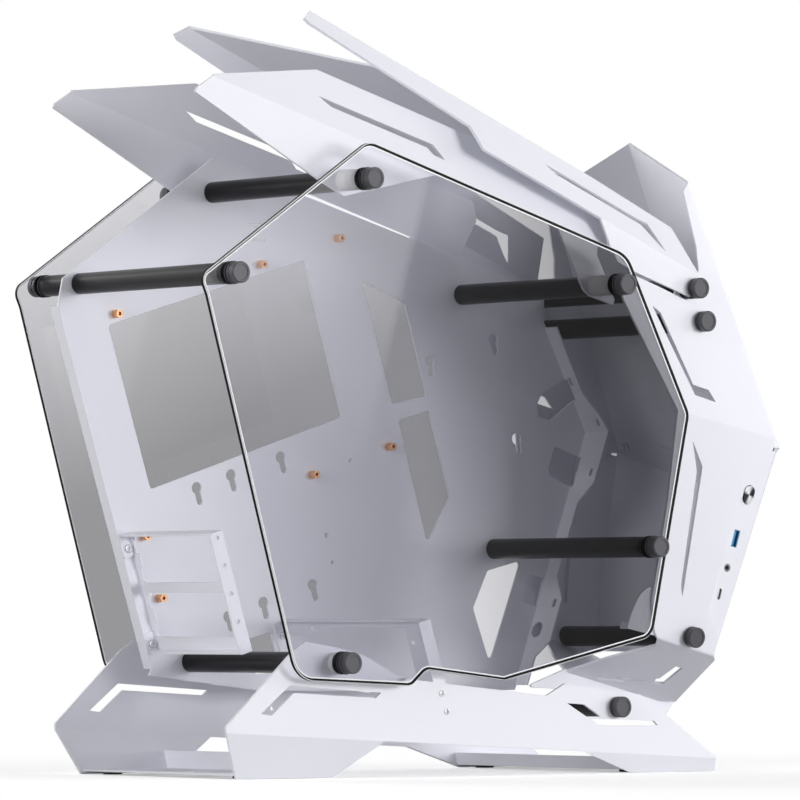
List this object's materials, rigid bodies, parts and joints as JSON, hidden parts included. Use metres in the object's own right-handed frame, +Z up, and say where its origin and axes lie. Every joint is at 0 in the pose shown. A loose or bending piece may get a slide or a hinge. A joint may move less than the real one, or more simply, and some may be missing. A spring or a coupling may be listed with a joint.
{
  "type": "open-frame micro-atx tower pc case",
  "caption": "Open-frame tower PC case with folded wing panels, glass sides on cross tubes, an angled motherboard tray, splayed feet and front ports.",
  "frame": {"origin": "on the floor, below the middle of the case's length and width", "axes": "+X towards the front, +Y towards the right side, behind the motherboard tray, +Z up"},
  "size_m": [0.5744, 0.252, 0.5335],
  "materials": {
    "white_sheet": "fine satin powder coat",
    "smoked_glass_left": "polished tempered glass",
    "smoked_glass_right": "polished tempered glass",
    "black_tube": "black satin anodised",
    "dark_knob": "dark grey anodised",
    "bright_sleeve": "brushed",
    "brass": "machined",
    "steel": "polished",
    "black_rubber": "matte",
    "black_plastic": "matte",
    "blue_plastic": "matte"
  },
  "bodies": {
    "case": {"audio_jack": "black_plastic", "board_standoffs": "brass", "body_tubes": "black_tube", "bracket_screws": "steel", "button_switch": "black_plastic", "cheek_left": "white_sheet", "cheek_right": "white_sheet", "chin_rib": "white_sheet", "floor_pads": "black_rubber", "floor_plate_front": "white_sheet", "floor_plate_rear": "white_sheet", "foot_left": "white_sheet", "foot_right": "white_sheet", "front_jaw": "white_sheet", "front_mask": "white_sheet", "glass_knobs": "dark_knob", "glass_left": "smoked_glass_left", "glass_right": "smoked_glass_right", "glass_spacers": "bright_sleeve", "glass_tubes": "black_tube", "glass_washers": "black_rubber", "jaw_screws": "steel", "lower_wing_left": "white_sheet", "lower_wing_right": "white_sheet", "motherboard_tray": "white_sheet", "panel_knobs": "dark_knob", "port_board": "black_plastic", "psu_frame": "white_sheet", "short_tubes": "black_tube", "slot_bracket": "white_sheet", "upper_wing": "white_sheet", "usb_a_insert": "blue_plastic", "usb_a_shell": "steel", "usb_c_port": "steel"},
    "button": {"power_button": "steel"}
  },
  "joints": [
    {"name": "power_button_press", "type": "slide", "parent": "case", "child": "button", "axis": [0.0285, 0.9903, 0.1362], "range_m": [0, 0.0009], "stiffness_N_per_m": 600, "springref_m": -0.0005}
  ]
}
